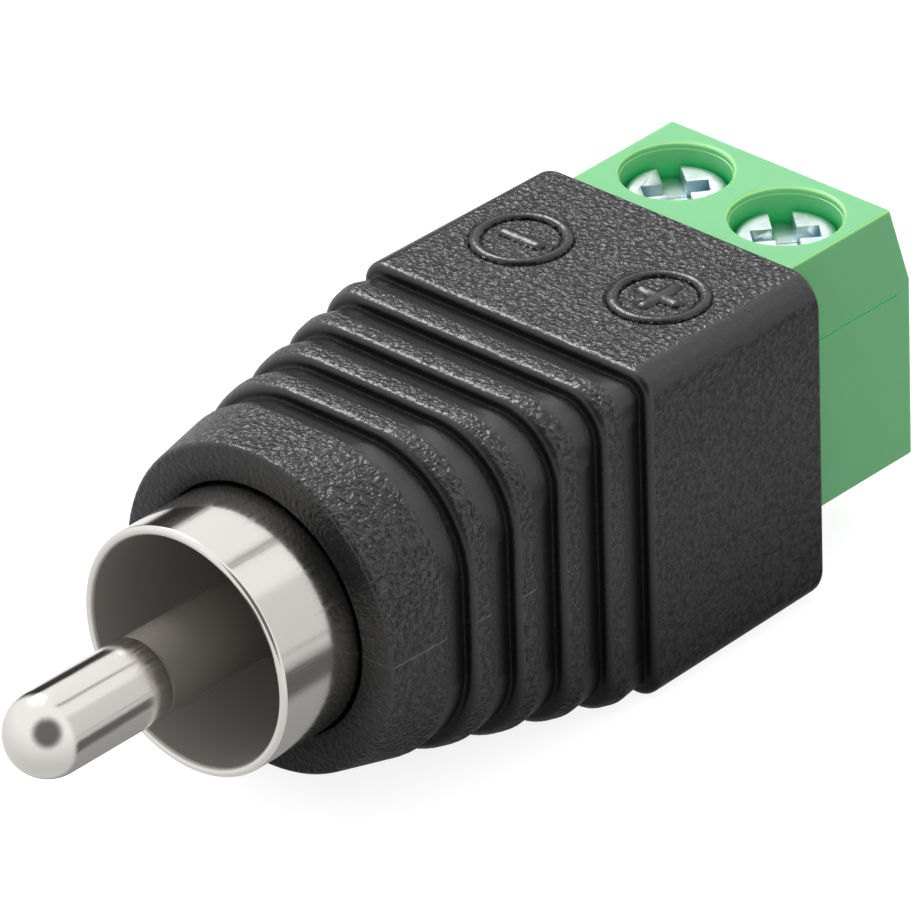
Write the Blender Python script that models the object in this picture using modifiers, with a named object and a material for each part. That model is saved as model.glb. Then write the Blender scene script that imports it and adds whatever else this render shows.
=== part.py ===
"""A phono plug on a short moulded body, with a two-way screw terminal block at its back.

The plug points along -Y and the terminals along +Y, and the body's flat underside rests on z = 0.
The origin is at the middle of the length and of the width, on that underside.
"""

from math import cos, pi, radians, sin

import bmesh
import bpy
from mathutils import Matrix, Vector

MM = 0.001

# The gap that two pieces keep where they touch or fit
CLEARANCE = 0.3 * MM

# Moulded body: a block, then ribs and a boss that run from its rounded square to a circle at the front
BODY_WIDTH = 13.1 * MM
BODY_HEIGHT = 12.8 * MM
BLOCK_LENGTH = 8.9 * MM
BLOCK_CORNER = 1.3 * MM
BODY_EDGE = 0.3 * MM
RIB_COUNT = 4
RIB_PITCH = 2.15 * MM
RIB_SLOPE = 1.3 * MM
GROOVE_DEPTH = 0.45 * MM
NOSE_CORNER = 0.95 * MM
BOSS_LENGTH = 3.9 * MM
BOSS_WALL = 1.2 * MM
BOSS_RISE = 1.0 * MM

# Raised polarity marks on the block's top
MARK_DIAMETER = 3.6 * MM
MARK_LINE = 0.4 * MM
MARK_HEIGHT = 0.12 * MM
MARK_BAR = 2.2 * MM
MARK_SPACING = 6.28 * MM
MARK_SETBACK = 4.5 * MM

# Plug: drawn collar, centre pin and the insulator between them
COLLAR_BORE = 8.47 * MM
COLLAR_WALL = 0.35 * MM
COLLAR_REACH = 3.65 * MM
LUG_WIDTH = 2.0 * MM
LUG_LENGTH = 3.6 * MM
PIN_DIAMETER = 3.08 * MM
PIN_LENGTH = 6.0 * MM
PIN_REACH = 8.1 * MM
PIN_STEM = 1.4 * MM
PIN_TAIL = 1.0 * MM
POST_DIAMETER = 2.96 * MM
FLOOR_DEPTH = 6.0 * MM
FLOOR_THICKNESS = 1.2 * MM
SPIGOT_WALL = 0.8 * MM
SPIGOT_LENGTH = 1.5 * MM

# Terminal housing
POLE_PITCH = 5.0 * MM
HOUSING_REACH = 6.4 * MM
HOUSING_EMBED = 1.6 * MM
HOUSING_DROP = 0.25 * MM
HOUSING_LIFT = 2.4 * MM
SHOULDER_DROP = 1.6 * MM
KNEE_DROP = 3.15 * MM
TOP_SETBACK = 1.0 * MM
WELL_DIAMETER = 4.1 * MM
WELL_LIP = 0.15 * MM
SCREW_SETBACK = 3.62 * MM
SEAT_THICKNESS = 0.5 * MM
HOUSING_FLOOR = 0.76 * MM
ENTRY_WIDTH = 2.8 * MM
ENTRY_HEIGHT = 2.3 * MM
ENTRY_FLARE = 0.4 * MM

# Clamping screw, thread M2.5, shown at its core diameter
SCREW_RECESS = 0.7 * MM
HEAD_DIAMETER = 3.6 * MM
HEAD_HEIGHT = 1.4 * MM
HEAD_EDGE = 0.15 * MM
SLOT_WIDTH = 0.85 * MM
SLOT_DEPTH = 0.6 * MM
CROSS_LENGTH = 2.4 * MM
CROSS_WIDTH = 0.8 * MM
SHANK_DIAMETER = 2.0 * MM
THREAD_DEPTH = 0.25 * MM
SLOT_TURN_MINUS = radians(142)
SLOT_TURN_PLUS = radians(139)

# Rising wire clamp and contact
CLAMP_TOP = 1.0 * MM
CLAMP_WALL = 0.5 * MM
CLAMP_DEPTH = 3.4 * MM
CLOSED_GAP = 0.3 * MM
CONTACT_WIDTH = 1.7 * MM
CONTACT_THICKNESS = 0.6 * MM
TAIL_WIDTH = 1.2 * MM
TAIL_LENGTH = 1.5 * MM
BAR_SHORTFALL = 0.2 * MM

# Link wires inside the body
WIRE_DIAMETER = 0.8 * MM
WIRE_LEAD = 1.6 * MM
WIRE_POINTS = 14

# Facets
CORNER_STEPS = 8
ROUND_SIDES = 48
SMALL_SIDES = 32

# Overall lengths, and the body's rear face in the frame
nose_length = RIB_COUNT * RIB_PITCH + BOSS_LENGTH
boss_front = BLOCK_LENGTH + nose_length
collar_mouth = boss_front + COLLAR_REACH
pin_tip = collar_mouth + PIN_REACH
rear_face_y = (pin_tip - HOUSING_REACH) / 2


def ahead(distance):
    """Y of a place this far in front of the body's rear face, towards the plug's tip."""
    return rear_face_y - distance


def behind(distance):
    """Y of a place this far behind the body's rear face."""
    return rear_face_y + distance


# Plug sizes
collar_radius = COLLAR_BORE / 2 + COLLAR_WALL
collar_hole = collar_radius + CLEARANCE
boss_radius = collar_hole + BOSS_WALL
axis_z = BOSS_RISE + boss_radius
pin_shoulder = pin_tip - PIN_LENGTH
floor_front = collar_mouth - FLOOR_DEPTH
floor_rear = floor_front - FLOOR_THICKNESS
collar_base = floor_rear - CLEARANCE
collar_rear = collar_base - COLLAR_WALL
stem_hole = PIN_STEM / 2 + CLEARANCE
spigot_radius = stem_hole + SPIGOT_WALL
spigot_rear = collar_rear - SPIGOT_LENGTH
stem_rear = spigot_rear - PIN_TAIL
lug_rear = collar_rear - LUG_LENGTH

# Terminal sizes, worked down from the housing's top
housing_width = 2 * POLE_PITCH
housing_top = BODY_HEIGHT - HOUSING_DROP
housing_height = housing_top - HOUSING_LIFT
head_top = housing_top - SCREW_RECESS
head_under = head_top - HEAD_HEIGHT
seat_top = head_under - CLEARANCE
chamber_top = seat_top - SEAT_THICKNESS
chamber_floor = HOUSING_LIFT + HOUSING_FLOOR
clamp_fixed = CLAMP_TOP + CONTACT_THICKNESS + CLAMP_WALL + 3 * CLEARANCE
clamp_travel = (chamber_top - chamber_floor - clamp_fixed - CLOSED_GAP) / 2
wire_gap = clamp_travel + CLOSED_GAP
clamp_bottom = chamber_floor + CLEARANCE
contact_under = clamp_bottom + CLAMP_WALL + wire_gap
contact_top = contact_under + CONTACT_THICKNESS
clamp_top_under = contact_top + CLEARANCE
clamp_top = clamp_top_under + CLAMP_TOP
screw_tip = contact_top + CLEARANCE
window_width = CONTACT_WIDTH + 2 * CLEARANCE
clamp_width = window_width + 2 * CLAMP_WALL
chamber_width = clamp_width + 2 * CLEARANCE
screw_y = behind(HOUSING_REACH - SCREW_SETBACK)
clamp_rear = screw_y + CLAMP_DEPTH / 2
chamber_rear = clamp_rear + CLEARANCE
housing_front = ahead(HOUSING_EMBED)
entry_z = (clamp_bottom + CLAMP_WALL + contact_under) / 2
tail_end = HOUSING_EMBED + TAIL_LENGTH
tail_z = (contact_under + contact_top) / 2

# Scene, collections and materials

for leftover in list(bpy.data.objects):
    bpy.data.objects.remove(leftover)

parts = bpy.data.collections.new("phono_plug_terminal_adapter")
cutters = bpy.data.collections.new("cutters")
for collection in (parts, cutters):
    bpy.context.scene.collection.children.link(collection)
cutters.hide_render = True


def finish(name, colour, roughness, metallic):
    """A plain material of one colour, roughness and metallic value."""
    material = bpy.data.materials.new(name)
    material.use_nodes = True
    shader = material.node_tree.nodes["Principled BSDF"]
    shader.inputs["Base Color"].default_value = (*colour, 1)
    shader.inputs["Roughness"].default_value = roughness
    shader.inputs["Metallic"].default_value = metallic
    return material


black_pvc = finish("black_pvc", (0.014, 0.014, 0.015), 0.5, 0)
black_insulator = finish("black_insulator", (0.01, 0.01, 0.01), 0.25, 0)
green_polyamide = finish("green_polyamide", (0.2, 0.6, 0.26), 0.4, 0)
nickel_plate = finish("nickel_plate", (0.66, 0.64, 0.6), 0.18, 1)
zinc_plate = finish("zinc_plate", (0.62, 0.66, 0.68), 0.3, 1)
tinned_brass = finish("tinned_brass", (0.6, 0.58, 0.52), 0.35, 1)
tinned_copper = finish("tinned_copper", (0.7, 0.6, 0.5), 0.35, 1)

# Ways of making a shape


def keep(name, data, material=None):
    """The object of a piece where a material is given, and of a hidden cutter otherwise."""
    thing = bpy.data.objects.new(name, data)
    if material:
        parts.objects.link(thing)
        data.materials.append(material)
        return thing
    cutters.objects.link(thing)
    thing.hide_render = True
    thing.display_type = "WIRE"
    return thing


def mesh_from(shape, name):
    """Turns a bmesh into a mesh and frees it."""
    mesh = bpy.data.meshes.new(name)
    shape.to_mesh(mesh)
    shape.free()
    return mesh


def box(name, low, high, material=None, place=(0, 0, 0)):
    """A box between two corners, which are given from its place."""
    low, high = Vector(low), Vector(high)
    shape = bmesh.new()
    stretch = Matrix.Translation((low + high) / 2) @ Matrix.Diagonal((*(high - low), 1))
    bmesh.ops.create_cube(shape, size=1, matrix=stretch)
    block = keep(name, mesh_from(shape, name), material)
    block.location = place
    return block


def cylinder(name, radius, start, end, sides=SMALL_SIDES, end_radius=None):
    """A cylinder or cone from one point to another."""
    start, end = Vector(start), Vector(end)
    shape = bmesh.new()
    turn = (end - start).to_track_quat("Z", "Y").to_matrix().to_4x4()
    bmesh.ops.create_cone(
        shape,
        cap_ends=True,
        segments=sides,
        radius1=radius,
        radius2=radius if end_radius is None else end_radius,
        depth=(end - start).length,
        matrix=Matrix.Translation((start + end) / 2) @ turn,
    )
    return keep(name, mesh_from(shape, name))


def turned(name, profile, closed, material=None, sides=ROUND_SIDES):
    """A profile of (radius, height) turned about the object's own Z, its outer side running down."""
    shape = bmesh.new()
    corners = [shape.verts.new((radius, 0, height)) for radius, height in profile]
    for first, second in zip(corners, corners[1:] + corners[:1] * closed):
        shape.edges.new((first, second))
    piece = keep(name, mesh_from(shape, name), material)
    lathe = piece.modifiers.new("lathe", "SCREW")
    lathe.steps = lathe.render_steps = sides
    lathe.use_merge_vertices = True
    lathe.merge_threshold = 1e-6
    return piece


def lay_forward(piece, distance):
    """Lays a turned piece on the plug's axis, its own Z towards the tip and its origin this far ahead."""
    piece.rotation_euler = (pi / 2, 0, 0)
    piece.location = (0, ahead(distance), axis_z)


def arc(radius, height, size, start, end, steps):
    """Points of a profile round a centre at (radius, height), at even angles from start to end."""
    angles = [start + (end - start) * step / steps for step in range(steps + 1)]
    return [(radius + size * cos(angle), height + size * sin(angle)) for angle in angles]


def solid_copy(thing):
    """Turns a curve object into a mesh object with welded caps, and removes the curve."""
    bpy.context.view_layer.update()
    seen = thing.evaluated_get(bpy.context.evaluated_depsgraph_get())
    mesh = bpy.data.meshes.new_from_object(seen)
    shape = bmesh.new()
    shape.from_mesh(mesh)
    bmesh.ops.remove_doubles(shape, verts=shape.verts, dist=1e-6)
    shape.to_mesh(mesh)
    shape.free()
    copy = bpy.data.objects.new(thing.name, mesh)
    copy.matrix_world = thing.matrix_world
    copy.hide_render = thing.hide_render
    copy.display_type = thing.display_type
    for collection in thing.users_collection:
        collection.objects.link(copy)
    name = thing.name
    bpy.data.objects.remove(thing)
    copy.name = name
    return copy


def combine(target, tool, operation):
    """Joins a tool to a piece, or cuts the piece with it."""
    step = target.modifiers.new(tool.name, "BOOLEAN")
    step.operation = operation
    step.object = tool


def cut(target, tool):
    combine(target, tool, "DIFFERENCE")


def join(target, tool):
    combine(target, tool, "UNION")


# Moulded body


def between(start, end, share):
    return start + (end - start) * share


def rounded_ring(distance, width, height, middle, corner, inset):
    """Points round a rounded rectangle across the body, this far ahead of its rear face."""
    radius = corner - inset
    reach_x, reach_z = width / 2 - inset - radius, height / 2 - inset - radius
    ring = []
    for quarter, (side, up) in enumerate(((1, 1), (-1, 1), (-1, -1), (1, -1))):
        for step in range(CORNER_STEPS + 1):
            angle = (quarter + step / CORNER_STEPS) * pi / 2
            x = side * reach_x + radius * cos(angle)
            z = middle + up * reach_z + radius * sin(angle)
            ring.append((x, ahead(distance), z))
    return ring


def block_ring(distance, inset):
    """A section of the block, whose corners grow sharper towards the ribs."""
    corner = between(BLOCK_CORNER, NOSE_CORNER, distance / BLOCK_LENGTH)
    return rounded_ring(distance, BODY_WIDTH, BODY_HEIGHT, BODY_HEIGHT / 2, corner, inset)


def nose_ring(distance, inset):
    """A section of the ribs and the boss, which turns from the block's square to the front's circle."""
    share = distance / nose_length
    return rounded_ring(
        BLOCK_LENGTH + distance,
        between(BODY_WIDTH, 2 * boss_radius, share),
        between(BODY_HEIGHT, 2 * boss_radius, share),
        between(BODY_HEIGHT / 2, axis_z, share),
        between(NOSE_CORNER, boss_radius, share),
        inset,
    )


def body_rings():
    """The body's sections from its rear face to its front face."""
    rings = [
        block_ring(0, BODY_EDGE),
        block_ring(BODY_EDGE, 0),
        block_ring(BLOCK_LENGTH - BODY_EDGE, 0),
        block_ring(BLOCK_LENGTH, BODY_EDGE),
        nose_ring(0, GROOVE_DEPTH),
    ]
    for rib in range(RIB_COUNT):
        wall = (rib + 1) * RIB_PITCH
        rings += [
            nose_ring(wall - RIB_PITCH + RIB_SLOPE, 0),
            nose_ring(wall - BODY_EDGE, 0),
            nose_ring(wall, BODY_EDGE),
            nose_ring(wall, GROOVE_DEPTH),
        ]
    return rings + [nose_ring(RIB_COUNT * RIB_PITCH + RIB_SLOPE, 0), nose_ring(nose_length, 0)]


def make_body():
    shape = bmesh.new()
    loops = [[shape.verts.new(point) for point in ring] for ring in body_rings()]
    for near, far in zip(loops, loops[1:]):
        for place in range(len(near)):
            after = (place + 1) % len(near)
            shape.faces.new((near[place], near[after], far[after], far[place]))
    shape.faces.new(loops[0])
    shape.faces.new(loops[-1])
    bmesh.ops.remove_doubles(shape, verts=shape.verts, dist=1e-7)
    bmesh.ops.dissolve_degenerate(shape, edges=shape.edges, dist=1e-7)
    bmesh.ops.recalc_face_normals(shape, faces=shape.faces)
    return keep("body_overmould", mesh_from(shape, "body_overmould"), black_pvc)


def add_marks(body):
    """Raised rings with a bar and a cross, minus on the left and plus on the right."""
    low, high = BODY_HEIGHT - CLEARANCE, BODY_HEIGHT + MARK_HEIGHT
    outer, inner = MARK_DIAMETER / 2, MARK_DIAMETER / 2 - MARK_LINE
    half_bar, half_line = MARK_BAR / 2, MARK_LINE / 2
    for name, side in (("minus", -1), ("plus", 1)):
        centre = (side * MARK_SPACING / 2, ahead(MARK_SETBACK), 0)
        profile = [(outer, high), (outer, low), (inner, low), (inner, high)]
        ring = turned(f"{name}_ring", profile, True)
        ring.location = centre
        join(body, ring)
        corner = (half_bar, half_line, high)
        join(body, box(f"{name}_bar", (-half_bar, -half_line, low), corner, None, centre))
        if side > 0:
            corner = (half_line, half_bar, high)
            join(body, box("plus_upright", (-half_line, -half_bar, low), corner, None, centre))


# Plug


def make_collar():
    """A drawn collar with a pierced base, and a solder lug left on its rim."""
    inner, outer = COLLAR_BORE / 2, collar_radius
    hole = spigot_radius + CLEARANCE
    front, base, rear = collar_mouth - collar_rear, collar_base - collar_rear, 0
    rim = arc((inner + outer) / 2, front - COLLAR_WALL / 2, COLLAR_WALL / 2, pi, 0, 4)
    profile = rim + [(outer, rear), (hole, rear), (hole, base), (inner, base)]
    collar = turned("plug_collar", profile, True, nickel_plate)
    lay_forward(collar, collar_rear)
    lug = box(
        "lug",
        (-collar_radius, ahead(collar_rear + COLLAR_WALL), axis_z - LUG_WIDTH / 2),
        (-collar_radius + COLLAR_WALL, ahead(lug_rear), axis_z + LUG_WIDTH / 2),
    )
    join(collar, lug)


def make_pin():
    """A turned pin with a round nose, whose stem runs back through the insulator."""
    radius, stem = PIN_DIAMETER / 2, PIN_STEM / 2
    shoulder, tip = pin_shoulder - stem_rear, pin_tip - stem_rear
    nose = arc(0, tip - radius, radius, pi / 2, 0, 8)
    nose[0] = (0, tip)
    profile = nose + [(radius, shoulder), (stem, shoulder), (stem, 0), (0, 0)]
    pin = turned("centre_pin", profile, False, nickel_plate, SMALL_SIDES)
    lay_forward(pin, stem_rear)


def make_insulator():
    """A disc that closes the collar, with a long post in front and a short spigot behind."""
    disc, post = COLLAR_BORE / 2 - CLEARANCE, POST_DIAMETER / 2
    top = pin_shoulder - CLEARANCE - spigot_rear
    front, rear = floor_front - spigot_rear, floor_rear - spigot_rear
    profile = [(stem_hole, top), (post, top), (post, front), (disc, front), (disc, rear)]
    profile += [(spigot_radius, rear), (spigot_radius, 0), (stem_hole, 0)]
    insulator = turned("pin_insulator", profile, True, black_insulator)
    lay_forward(insulator, spigot_rear)


# Terminal block


def make_housing():
    """A block with two screw wells on top, two chambers open to the front and two wire entries."""
    front = housing_front - rear_face_y
    outline = [
        (front, HOUSING_LIFT),
        (HOUSING_REACH, HOUSING_LIFT),
        (HOUSING_REACH, housing_top - KNEE_DROP),
        (HOUSING_REACH - TOP_SETBACK, housing_top),
        (CLEARANCE, housing_top),
        (CLEARANCE, housing_top - SHOULDER_DROP),
        (front, housing_top - SHOULDER_DROP),
    ]
    curve = bpy.data.curves.new("terminal_housing", "CURVE")
    curve.dimensions = "2D"
    curve.fill_mode = "BOTH"
    curve.extrude = housing_width / 2
    spline = curve.splines.new("POLY")
    spline.points.add(len(outline) - 1)
    for point, (along, up) in zip(spline.points, outline):
        point.co = (along, up, 0, 1)
    spline.use_cyclic_u = True
    housing = keep("terminal_housing", curve, green_polyamide)
    housing.rotation_euler = (pi / 2, 0, pi / 2)
    housing.location.y = rear_face_y
    housing = solid_copy(housing)
    for name, side in (("minus", -1), ("plus", 1)):
        cut_pole(housing, name, side * POLE_PITCH / 2)


def cut_pole(housing, name, x):
    """The well, screw hole, chamber and wire entry of one pole."""
    well, screw_hole = WELL_DIAMETER / 2, SHANK_DIAMETER / 2 + THREAD_DEPTH + CLEARANCE
    over = housing_top + WELL_LIP

    def on_screw(z):
        return (x, screw_y, z)

    cut(housing, cylinder(f"{name}_well", well, on_screw(seat_top), on_screw(over), ROUND_SIDES))
    cut(housing, cylinder(f"{name}_hole", screw_hole, on_screw(chamber_top - CLEARANCE), on_screw(over)))
    lip_low, lip_top = housing_top - WELL_LIP, well + 2 * WELL_LIP
    cut(housing, cylinder(f"{name}_lip", well, on_screw(lip_low), on_screw(over), ROUND_SIDES, lip_top))
    chamber = box(
        f"{name}_chamber",
        (x - chamber_width / 2, housing_front - CLEARANCE, chamber_floor),
        (x + chamber_width / 2, chamber_rear, chamber_top),
    )
    cut(housing, chamber)
    entry_x, entry_up = ENTRY_WIDTH / 2, ENTRY_HEIGHT / 2
    entry_end = behind(HOUSING_REACH + CLEARANCE)
    entry = box(
        f"{name}_entry",
        (x - entry_x, chamber_rear - CLEARANCE, entry_z - entry_up),
        (x + entry_x, entry_end, entry_z + entry_up),
    )
    cut(housing, entry)
    cut(housing, flare(f"{name}_flare", x))


def flare(name, x):
    """A funnel from the wire entry's size out to the housing's rear face, carried on past it."""
    shape = bmesh.new()
    bmesh.ops.create_cube(shape, size=1)
    inner, outer = behind(HOUSING_REACH - ENTRY_FLARE), behind(HOUSING_REACH + ENTRY_FLARE)
    for corner in shape.verts:
        grow = 2 * ENTRY_FLARE if corner.co.y > 0 else 0
        corner.co.x = x + (ENTRY_WIDTH / 2 + grow) * (1 if corner.co.x > 0 else -1)
        corner.co.z = entry_z + (ENTRY_HEIGHT / 2 + grow) * (1 if corner.co.z > 0 else -1)
        corner.co.y = outer if corner.co.y > 0 else inner
    return keep(name, mesh_from(shape, name))


def make_screw(name, x, slot_turn):
    """A flat-headed screw with a slot right across and a shorter cross slot."""
    head, shank, tip = HEAD_DIAMETER / 2, SHANK_DIAMETER / 2, screw_tip - head_under
    profile = [(0, HEAD_HEIGHT), (head - HEAD_EDGE, HEAD_HEIGHT), (head, HEAD_HEIGHT - HEAD_EDGE)]
    profile += [(head, 0), (shank, 0), (shank, tip), (0, tip)]
    place = (x, screw_y, head_under)
    screw = turned(name, profile, False, zinc_plate, SMALL_SIDES)
    screw.location = place
    slots = (
        ("slot", HEAD_DIAMETER + 2 * CLEARANCE, SLOT_WIDTH, slot_turn),
        ("cross", CROSS_LENGTH, CROSS_WIDTH, slot_turn + pi / 2),
    )
    for slot, length, width, turn in slots:
        low = (-length / 2, -width / 2, HEAD_HEIGHT - SLOT_DEPTH)
        high = (length / 2, width / 2, HEAD_HEIGHT + CLEARANCE)
        tool = box(f"{name}_{slot}", low, high, None, place)
        tool.rotation_euler.z = turn
        cut(screw, tool)


def make_clamp(name, x):
    """A folded box with a threaded top, open to the front and the rear for the wire and the contact."""
    place = (x, screw_y, clamp_bottom)
    half_width, half_depth, height = clamp_width / 2, CLAMP_DEPTH / 2, clamp_top - clamp_bottom
    clamp = box(name, (-half_width, -half_depth, 0), (half_width, half_depth, height), zinc_plate, place)
    window = box(
        f"{name}_window",
        (-window_width / 2, -half_depth - CLEARANCE, CLAMP_WALL),
        (window_width / 2, half_depth + CLEARANCE, clamp_top_under - clamp_bottom),
        None,
        place,
    )
    cut(clamp, window)
    thread = SHANK_DIAMETER / 2 + THREAD_DEPTH
    low, high = clamp_top_under - CLEARANCE, clamp_top + CLEARANCE
    cut(clamp, cylinder(f"{name}_thread", thread, (x, screw_y, low), (x, screw_y, high)))


def make_contact(name, x):
    """A stamped contact: a plate in the chamber's mouth, a bar back into the clamp and a solder tail."""
    half_plate = chamber_width / 2 - CLEARANCE
    plate_rear = housing_front + CONTACT_THICKNESS
    contact = box(
        name,
        (x - half_plate, housing_front, chamber_floor + CLEARANCE),
        (x + half_plate, plate_rear, chamber_top - CLEARANCE),
        tinned_brass,
    )
    middle = (housing_front + plate_rear) / 2
    lengths = (
        ("bar", CONTACT_WIDTH / 2, middle, clamp_rear - BAR_SHORTFALL),
        ("tail", TAIL_WIDTH / 2, ahead(tail_end), middle),
    )
    for part, half, near, far in lengths:
        low, high = (x - half, near, contact_under), (x + half, far, contact_top)
        join(contact, box(f"{name}_{part}", low, high))


# Link wires


def wire_route(start, end, extra):
    """Points of a smooth run from the contact's tail to the plug, straight along Y at both ends."""
    start, end = Vector(start) + Vector((0, extra, 0)), Vector(end) - Vector((0, extra, 0))
    lead = Vector((0, WIRE_LEAD, 0))
    first, last = start - lead, end + lead
    route = [start]
    for step in range(WIRE_POINTS + 1):
        share = step / WIRE_POINTS
        ease = share * share * (3 - 2 * share)
        point = first.lerp(last, ease)
        point.y = first.y + (last.y - first.y) * share
        route.append(point)
    return route + [end]


def tube(name, route, radius, material=None):
    curve = bpy.data.curves.new(name, "CURVE")
    curve.dimensions = "3D"
    curve.bevel_depth = radius
    curve.bevel_resolution = 2
    curve.use_fill_caps = True
    spline = curve.splines.new("POLY")
    spline.points.add(len(route) - 1)
    for point, place in zip(spline.points, route):
        point.co = (*place, 1)
    return keep(name, curve, material)


def make_wire(body, name, x, end):
    """A wire, and the channel that the moulding leaves round it."""
    start = (x, ahead(tail_end + CLEARANCE), tail_z)
    radius = WIRE_DIAMETER / 2
    tube(name, wire_route(start, end, 0), radius, tinned_copper)
    channel = tube(f"{name}_channel", wire_route(start, end, CLEARANCE), radius + CLEARANCE)
    cut(body, solid_copy(channel))


# Cavities that the moulding leaves round what it holds


def hollow_body(body):
    half_pocket = housing_width / 2 + CLEARANCE
    pocket = box(
        "housing_pocket",
        (-half_pocket, housing_front - CLEARANCE, HOUSING_LIFT - CLEARANCE),
        (half_pocket, behind(CLEARANCE), housing_top - SHOULDER_DROP + CLEARANCE),
    )
    cut(body, pocket)
    for name, side in (("minus", -1), ("plus", 1)):
        x, half_tail = side * POLE_PITCH / 2, TAIL_WIDTH / 2 + CLEARANCE
        slot = box(
            f"{name}_tail_slot",
            (x - half_tail, ahead(tail_end + CLEARANCE), contact_under - CLEARANCE),
            (x + half_tail, housing_front, contact_top + CLEARANCE),
        )
        cut(body, slot)
    bores = (
        ("collar_hole", collar_hole, boss_front + CLEARANCE, collar_rear - CLEARANCE),
        ("spigot_hole", spigot_radius + CLEARANCE, collar_rear, spigot_rear - CLEARANCE),
        ("stem_hole", stem_hole, spigot_rear, stem_rear - CLEARANCE),
    )
    for name, radius, front, rear in bores:
        cut(body, cylinder(name, radius, (0, ahead(front), axis_z), (0, ahead(rear), axis_z), ROUND_SIDES))
    half_lug = LUG_WIDTH / 2 + CLEARANCE
    lug_slot = box(
        "lug_slot",
        (-collar_radius - CLEARANCE, ahead(collar_rear), axis_z - half_lug),
        (-collar_radius + COLLAR_WALL + CLEARANCE, ahead(lug_rear - CLEARANCE), axis_z + half_lug),
    )
    cut(body, lug_slot)


body = make_body()
add_marks(body)
hollow_body(body)
make_collar()
make_pin()
make_insulator()
make_housing()
wire_ends = {
    "minus": (-collar_radius + COLLAR_WALL / 2, ahead(lug_rear - CLEARANCE), axis_z),
    "plus": (0, ahead(stem_rear - CLEARANCE), axis_z),
}
slot_turns = {"minus": SLOT_TURN_MINUS, "plus": SLOT_TURN_PLUS}
for pole, side in (("minus", -1), ("plus", 1)):
    pole_x = side * POLE_PITCH / 2
    make_screw(f"clamp_screw_{pole}", pole_x, slot_turns[pole])
    make_clamp(f"wire_clamp_{pole}", pole_x)
    make_contact(f"contact_{pole}", pole_x)
    make_wire(body, f"link_wire_{pole}", pole_x, wire_ends[pole])
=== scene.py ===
from math import atan2, cos, pi, radians, sin, sqrt

import bmesh
import bpy
from mathutils import Matrix, Vector


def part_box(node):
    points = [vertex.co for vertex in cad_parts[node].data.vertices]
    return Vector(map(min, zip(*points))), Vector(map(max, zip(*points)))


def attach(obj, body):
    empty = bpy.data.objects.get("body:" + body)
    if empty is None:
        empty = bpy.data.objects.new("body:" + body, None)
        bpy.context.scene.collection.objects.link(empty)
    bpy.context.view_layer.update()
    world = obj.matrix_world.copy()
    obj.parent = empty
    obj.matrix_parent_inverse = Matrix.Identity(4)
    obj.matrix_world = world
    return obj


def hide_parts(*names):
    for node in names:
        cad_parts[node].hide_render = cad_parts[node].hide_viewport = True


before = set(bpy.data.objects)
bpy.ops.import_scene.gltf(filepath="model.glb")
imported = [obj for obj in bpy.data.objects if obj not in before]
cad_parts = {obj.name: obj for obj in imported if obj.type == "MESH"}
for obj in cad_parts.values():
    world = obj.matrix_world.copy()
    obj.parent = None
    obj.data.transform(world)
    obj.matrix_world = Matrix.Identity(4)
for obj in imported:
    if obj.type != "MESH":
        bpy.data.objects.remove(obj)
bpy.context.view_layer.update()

# The camera looks down on the plug from its front right, 450 mm away through a long lens.
# It is turned a little about its own line of sight, as the photograph is.
MM = 0.001
AZIMUTH, ELEVATION, ROLL = radians(43.12), radians(30.57), radians(-1.83)
CAMERA_DISTANCE = 450 * MM
IMAGE_WIDTH = 915
PIXELS_PER_MM = 29.5
FILM_WIDTH = 36
SHIFT_X, SHIFT_Y = 11.31, 30.65  # pixels
AIM_AHEAD, AIM_HEIGHT = 12 * MM, 7.8 * MM
body_low, body_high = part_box("body_overmould")
rear_y = body_high.y

back = Vector((sin(AZIMUTH) * cos(ELEVATION), -cos(AZIMUTH) * cos(ELEVATION), sin(ELEVATION)))
level = Vector((cos(AZIMUTH), sin(AZIMUTH), 0))
right = level * cos(ROLL) + back.cross(level) * sin(ROLL)
up = back.cross(right)
lens = bpy.data.cameras.new("camera")
lens.lens = PIXELS_PER_MM * CAMERA_DISTANCE / MM * FILM_WIDTH / IMAGE_WIDTH
lens.sensor_width = FILM_WIDTH
lens.shift_x, lens.shift_y = SHIFT_X / IMAGE_WIDTH, SHIFT_Y / IMAGE_WIDTH
camera = bpy.data.objects.new("camera", lens)
bpy.context.scene.collection.objects.link(camera)
aim = Vector((0, rear_y - AIM_AHEAD, AIM_HEIGHT))
camera_turn = Matrix((right, up, back)).transposed().to_4x4()
camera.matrix_world = Matrix.Translation(aim + back * CAMERA_DISTANCE) @ camera_turn
bpy.context.scene.camera = camera
bpy.context.scene.view_settings.view_transform = "Standard"


# The studio is a pale room. Greys run round the plug's line as bands, which the plated pieces show:
# a dark card behind on the left, a grey strip overhead, and a dark gap low on the right.
# A dark patch surrounds the camera itself.
STUDIO_LIGHT = 1.1
BAND_DEPTH = (0.25, 0.5)
BANDS = (
    (-180, 0.02), (-178, 0.02), (-172, 0.95), (-143, 0.95), (-135, 0.27), (-48, 0.36), (-40, 0.12),
    (-21, 0.12), (-14, 0.58), (-6, 0.64), (-4.5, 0.25), (-3, 0.66), (46, 0.7), (54, 0.95), (80, 0.95),
    (82, 0.45), (88, 0.45), (90, 0.95), (147, 0.95), (154, 0.02), (180, 0.02),
)
CAMERA_PATCH = (cos(radians(47)), cos(radians(24)))
PATCH_SHADE = 0.14
ROOM_HEIGHTS, ROOM_LOW = (-0.9, 0.3), 0.62


def add_node(tree, kind, inputs=None, **settings):
    """Adds a shader node, sets its options, and fills its inputs with values or other nodes' outputs."""
    node = tree.nodes.new("ShaderNode" + kind)
    for name, value in settings.items():
        setattr(node, name, value)
    for name, value in (inputs or {}).items():
        if isinstance(value, bpy.types.NodeSocket):
            tree.links.new(value, node.inputs[name])
        else:
            node.inputs[name].default_value = value
    return node


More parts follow.
